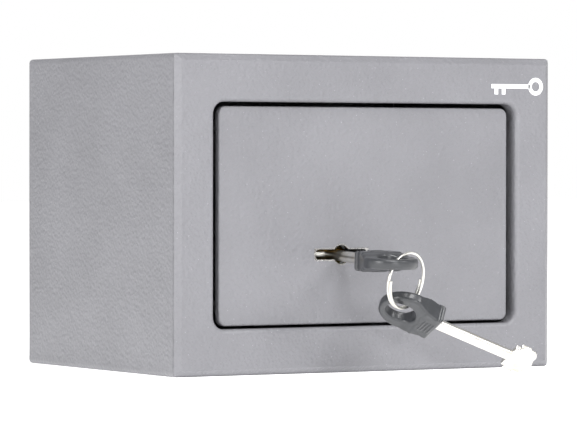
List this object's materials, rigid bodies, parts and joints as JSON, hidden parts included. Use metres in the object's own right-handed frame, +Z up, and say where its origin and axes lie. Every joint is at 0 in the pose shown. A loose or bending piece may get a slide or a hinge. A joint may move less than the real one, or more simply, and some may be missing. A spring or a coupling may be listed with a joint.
{
  "type": "key-operated safe",
  "caption": "Small grey steel safe with a flush hinged door, a lever lock that throws round bolts, and double-bitted keys on a split ring.",
  "frame": {"origin": "middle of the cabinet's underside, on the surface it stands on", "axes": "+X to the right as seen from the front, +Y from the door to the rear panel, +Z up"},
  "size_m": [0.195, 0.1958, 0.14],
  "materials": {
    "hammered_paint": "grey pebbled powder coat",
    "foam_mat": "black felt mat",
    "zinc_steel": "zinc plated",
    "bright_steel": "turned, bright",
    "dark_steel": "blued spring steel",
    "bolt_steel": "plated bolt",
    "brass_cam": "machined",
    "brass_lever": "stamped",
    "black_plastic": "moulded",
    "nickel": "bright nickel"
  },
  "bodies": {
    "cabinet": {"outer_wrap": "hammered_paint", "front_frame": "hammered_paint", "rear_panel": "hammered_paint", "floor_mat": "foam_mat", "upper_hinge_lug": "hammered_paint", "lower_hinge_lug": "hammered_paint"},
    "door": {"door_plate": "hammered_paint", "hinge_strip": "hammered_paint", "upper_hinge_pin": "bright_steel", "lower_hinge_pin": "bright_steel", "bolt_guide": "zinc_steel", "lock_case": "zinc_steel", "lock_studs": "bright_steel", "lock_nuts": "bright_steel", "lock_cover": "zinc_steel", "cover_screws": "bright_steel", "cam_bearing": "zinc_steel", "lever_post": "bright_steel", "guide_posts": "bright_steel", "post_clips": "dark_steel"},
    "levers": {"lever_1": "brass_lever", "lever_2": "brass_lever", "lever_3": "brass_lever", "lever_4": "brass_lever", "lever_5": "brass_lever", "lever_springs": "dark_steel"},
    "lock_cam": {"cam": "brass_cam", "crank_pin": "bright_steel"},
    "bolt_work": {"lock_slide": "zinc_steel", "lever_stump": "bright_steel", "bolt_bar": "zinc_steel", "lower_bolt": "bolt_steel", "upper_bolt": "bolt_steel", "slide_rivets": "bright_steel"},
    "key": {"key_bow": "black_plastic", "key_blade": "nickel"},
    "ring": {"key_ring": "nickel"},
    "spare_key": {"spare_key_bow": "black_plastic", "spare_key_blade": "nickel"}
  },
  "joints": [
    {"name": "door_hinge", "type": "hinge", "parent": "cabinet", "child": "door", "pos_m": [-0.068, -0.06, 0.07], "axis": [0, 0, -1], "range_deg": [0, 100]},
    {"name": "key_turn", "type": "hinge", "parent": "door", "child": "lock_cam", "pos_m": [-0.0127, -0.047, 0.0522], "axis": [0, -1, 0], "range_deg": [0, 180]},
    {"name": "bolt_throw", "type": "slide", "parent": "door", "child": "bolt_work", "axis": [1, 0, 0], "range_m": [0, 0.0091]},
    {"name": "lever_lift", "type": "hinge", "parent": "door", "child": "levers", "pos_m": [-0.027, -0.054, 0.08], "axis": [0, -1, 0], "range_deg": [0, 3], "stiffness_Nm_per_rad": 0.4, "springref_deg": -5.73},
    {"name": "key_withdraw", "type": "slide", "parent": "lock_cam", "child": "key", "axis": [0, -0.9986, -0.0523], "range_m": [0, 0.03]},
    {"name": "ring_swing", "type": "hinge", "parent": "key", "child": "ring", "pos_m": [-0.0045, -0.1085, 0.0495], "axis": [0.9191, 0.3939, 0], "range_deg": [-8, 8]},
    {"name": "spare_key_swing", "type": "hinge", "parent": "ring", "child": "spare_key", "pos_m": [-0.0049, -0.1075, 0.0305], "axis": [-0.9191, -0.3939, 0], "range_deg": [0, 8]}
  ],
  "couplings": [
    {"joint": "bolt_throw", "follows": "key_turn", "m_per_rad": 0.0028648}
  ]
}
